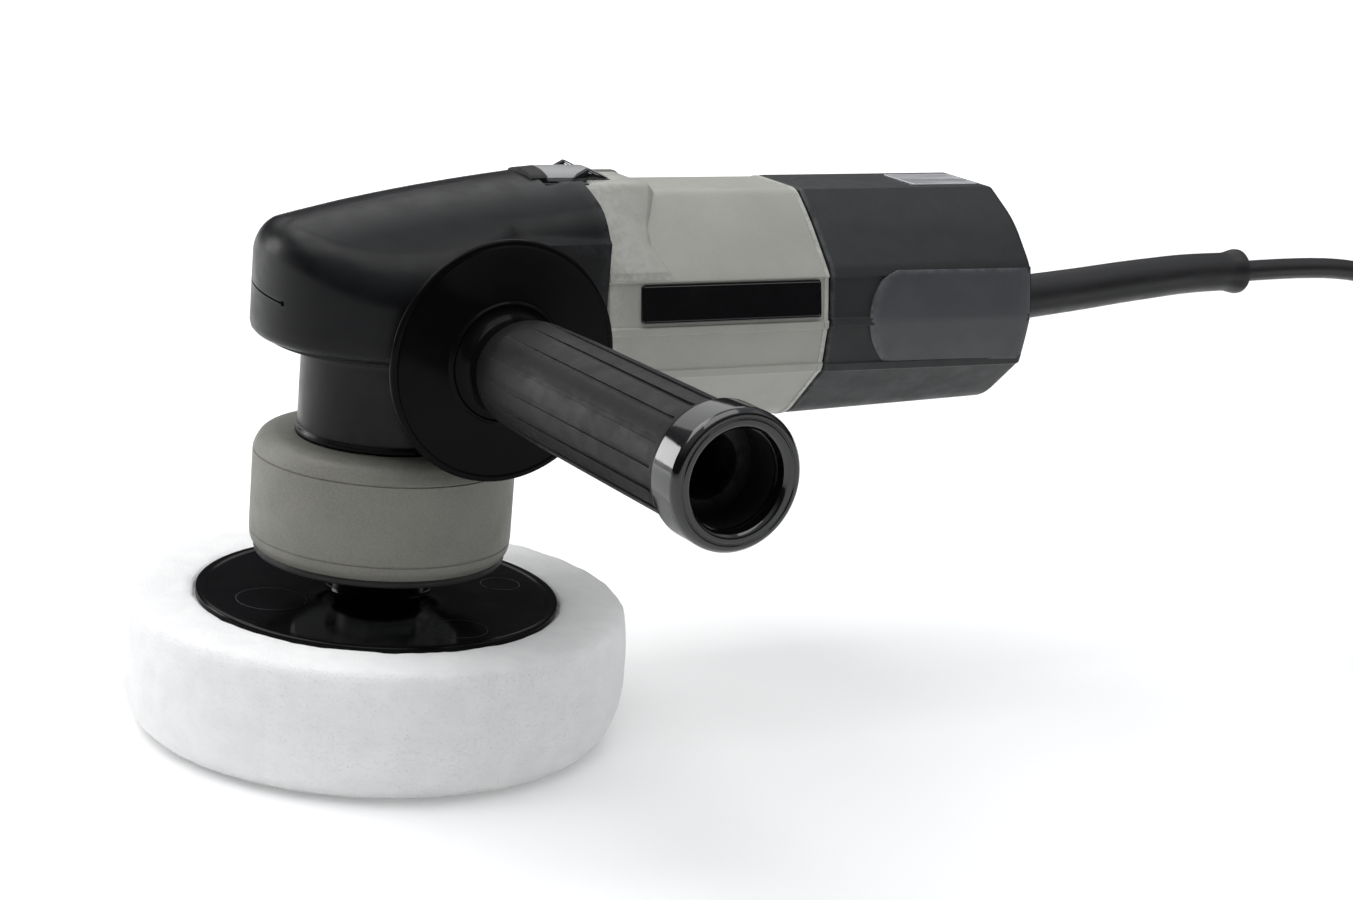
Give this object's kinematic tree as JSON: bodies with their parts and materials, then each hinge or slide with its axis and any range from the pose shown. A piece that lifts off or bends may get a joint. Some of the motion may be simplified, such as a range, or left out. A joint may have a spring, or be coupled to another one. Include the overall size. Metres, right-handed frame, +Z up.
{
  "type": "dual action polisher",
  "caption": "Corded right-angle dual action polisher with a foam pad on an eccentric spindle, side handle, slide switch, speed dial and mains cord.",
  "frame": {"origin": "where the main spindle axis meets the surface that the pad rests on", "axes": "+Z up along the spindle, +X along the motor towards the cord, side handle towards -Y"},
  "size_m": [0.5407, 0.2516, 0.1714],
  "materials": {
    "foam": "open-cell foam, matt",
    "black_gloss": "glossy moulded plastic",
    "steel": "machined steel",
    "bearing_steel": "ground bearing steel",
    "black_case": "black painted die casting",
    "cast_cover": "bare die casting",
    "boot_rubber": "smooth satin rubber",
    "grey_plastic": "fine textured plastic",
    "shroud_plastic": "fine textured plastic",
    "seal_rubber": "matt rubber",
    "dark_plastic": "fine textured plastic",
    "grip_plastic": "fine textured plastic",
    "slider_grey": "silver-grey plastic",
    "inner_plastic": "plain plastic",
    "plate_black": "printed plate",
    "label_silver": "satin foil",
    "core_steel": "laminated steel",
    "winding_copper": "enamelled wire",
    "carbon": "carbon",
    "brass": "plain brass",
    "cord_rubber": "satin rubber",
    "gear_steel": "oiled gear steel",
    "board": "potted circuit"
  },
  "bodies": {
    "housing": {"gear_case": "black_case", "gear_case_cover": "cast_cover", "cover_screws": "steel", "neck_bearing": "bearing_steel", "bearing_circlip": "steel", "top_bearing": "bearing_steel", "armature_front_bearing": "bearing_steel", "armature_rear_bearing": "bearing_steel", "gear_case_boot": "boot_rubber", "counterweight_shroud": "shroud_plastic", "shroud_seal": "seal_rubber", "shroud_screws": "steel", "motor_housing": "grey_plastic", "housing_screws": "steel", "rear_cap": "dark_plastic", "rear_cap_screws": "steel", "field_core": "core_steel", "field_coils": "winding_copper", "fan_baffle": "inner_plastic", "brush_holders": "brass", "carbon_brush_near": "carbon", "carbon_brush_far": "carbon", "brush_springs": "steel", "switch_bezel": "plate_black", "switch_body": "inner_plastic", "speed_module": "board", "handle_grip": "grip_plastic", "handle_stud": "steel", "nameplate_near": "plate_black", "nameplate_far": "plate_black", "rating_label": "label_silver", "strain_relief": "cord_rubber", "power_cord": "cord_rubber", "cord_clamp": "inner_plastic", "cord_coil": "cord_rubber", "coil_tie": "seal_rubber", "cord_tail": "cord_rubber", "plug_body": "cord_rubber", "plug_blades": "brass"},
    "spindle": {"spindle_shaft": "steel", "ring_gear": "gear_steel", "counterweight": "steel", "counterweight_screws": "steel", "pad_bearing_lower": "bearing_steel", "pad_bearing_upper": "bearing_steel"},
    "pad": {"pad_spindle": "steel", "pad_retaining_screw": "steel", "backing_plate": "black_gloss", "pad_stud": "steel", "foam_pad": "foam"},
    "armature": {"armature_shaft": "steel", "bevel_pinion": "gear_steel", "armature_core": "core_steel", "armature_coils": "winding_copper", "commutator": "winding_copper", "cooling_fan": "inner_plastic"},
    "switch_slider": {"switch_slider": "slider_grey"},
    "speed_dial": {"speed_dial": "dark_plastic"}
  },
  "joints": [
    {"name": "spindle_spin", "type": "hinge", "parent": "housing", "child": "spindle", "pos_m": [0, 0, 0.1], "axis": [0, 0, 1], "continuous": true},
    {"name": "pad_spin", "type": "hinge", "parent": "spindle", "child": "pad", "pos_m": [0.0021, 0.00341, 0.06], "axis": [0, 0, 1], "continuous": true},
    {"name": "armature_spin", "type": "hinge", "parent": "housing", "child": "armature", "pos_m": [0.09, 0, 0.128], "axis": [1, 0, 0], "continuous": true},
    {"name": "switch_slide", "type": "slide", "parent": "housing", "child": "switch_slider", "axis": [1, 0, 0], "range_m": [0, 0.007]},
    {"name": "speed_turn", "type": "hinge", "parent": "housing", "child": "speed_dial", "pos_m": [0.2, 0, 0.148], "axis": [1, 0, 0], "range_deg": [0, 270]}
  ],
  "couplings": [
    {"joint": "armature_spin", "follows": "spindle_spin", "ratio": -4}
  ]
}
